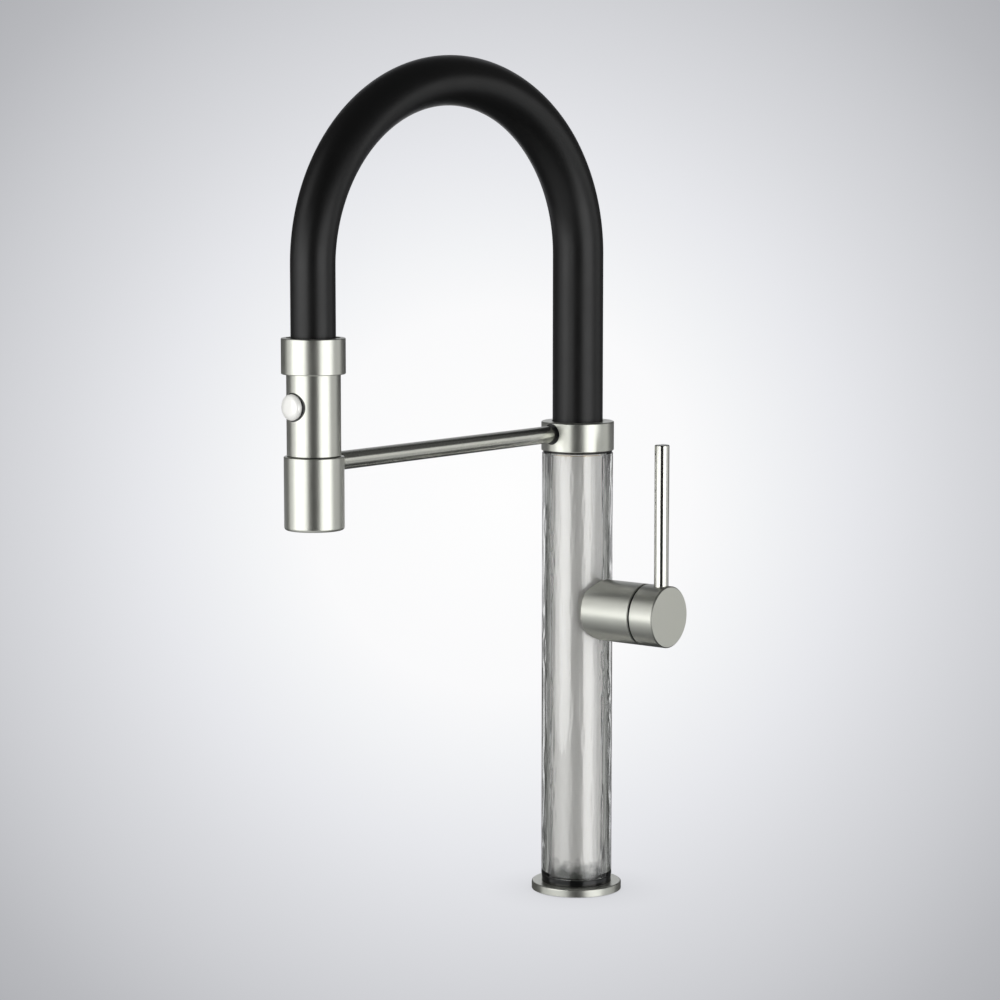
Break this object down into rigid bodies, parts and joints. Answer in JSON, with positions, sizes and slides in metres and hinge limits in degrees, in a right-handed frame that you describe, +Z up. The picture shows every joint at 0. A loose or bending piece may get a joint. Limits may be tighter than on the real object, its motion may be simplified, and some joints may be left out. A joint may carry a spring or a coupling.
{
  "type": "kitchen mixer tap with pull-out spray",
  "caption": "Single-lever kitchen mixer with a glass-sleeved column, a swivelling docking arm and a spray head on a self-supporting black hose arch.",
  "frame": {"origin": "centre of the column's foot, in the plane of the deck", "axes": "+Z up along the column; the arm and the spray head lie towards -Y at rest; the valve and its lever lie towards +X"},
  "size_m": [0.094, 0.2778, 0.4928],
  "materials": {
    "satin_nickel": "satin brushed nickel",
    "polished_nickel": "polished nickel",
    "brass": "machined",
    "copper": "drawn copper tube",
    "clear_glass": "clear, polished",
    "black_rubber": "matte",
    "hose_rubber": "smooth satin silicone rubber",
    "black_plastic": "moulded",
    "white_plastic": "moulded",
    "ceramic": "lapped",
    "steel": "bright stainless",
    "braided_steel": "stainless braid"
  },
  "bodies": {
    "root": {"base_flange": "satin_nickel", "base_seal": "black_rubber", "column_tube": "satin_nickel", "foot_block": "brass", "inlet_pipes": "copper", "manifold": "brass", "riser_pipe": "copper", "sleeve_seat": "black_rubber", "glass_sleeve": "clear_glass", "sleeve_gasket": "black_rubber", "swivel_spigot": "brass", "stop_pin": "steel", "valve_housing": "satin_nickel", "cartridge_body": "black_plastic", "cartridge_seals": "black_rubber", "fixed_disc": "ceramic", "cartridge_nut": "brass", "glide_ring": "black_rubber", "swivel_clip": "steel"},
    "handle": {"moving_disc": "ceramic", "spindle": "brass", "handle_cap": "satin_nickel", "lever": "polished_nickel", "handle_screw": "steel"},
    "arm": {"arm_collar": "satin_nickel", "swivel_bush": "white_plastic", "swivel_washer": "steel", "bar": "satin_nickel", "bar_screw": "steel", "holder": "satin_nickel", "holder_screw": "steel", "holder_liner": "black_plastic", "hose_foot": "black_plastic", "hose_nipple": "brass", "nipple_seal": "black_rubber", "hose_ferrule": "steel", "hose_cover": "hose_rubber", "support_spring": "steel", "water_hose": "braided_steel"},
    "hose_end": {"hose_tail": "brass", "tail_seal": "black_rubber", "tail_ferrule": "steel", "cover_plug": "black_plastic"},
    "spray_head": {"spray_ring": "satin_nickel", "spray_body": "satin_nickel", "spray_core": "white_plastic", "union_nut": "brass", "nozzle_face": "black_rubber", "aerator": "white_plastic", "button_spring": "steel"},
    "button": {"spray_button": "polished_nickel", "button_plunger": "black_plastic"}
  },
  "joints": [
    {"name": "handle_turn", "type": "hinge", "parent": "root", "child": "handle", "pos_m": [0.0598, 0, 0.1705], "axis": [1, 0, 0], "range_deg": [0, 100]},
    {"name": "arm_swivel", "type": "hinge", "parent": "root", "child": "arm", "pos_m": [0, 0, 0.2728], "axis": [0, 0, 1], "range_deg": [-150, 60]},
    {"name": "spray_lift", "type": "slide", "parent": "arm", "child": "hose_end", "axis": [0, 0, 1], "range_m": [0, 0.045], "deforming": ["hose_cover", "support_spring", "water_hose"]},
    {"name": "spray_turn", "type": "hinge", "parent": "hose_end", "child": "spray_head", "pos_m": [0, -0.2325, 0.3217], "axis": [0, 0, 1], "continuous": true},
    {"name": "button_press", "type": "slide", "parent": "spray_head", "child": "button", "axis": [0.1305, 0.9914, 0], "range_m": [0, 0.0014], "stiffness_N_per_m": 500, "springref_m": -0.002, "deforming": ["button_spring"]}
  ]
}
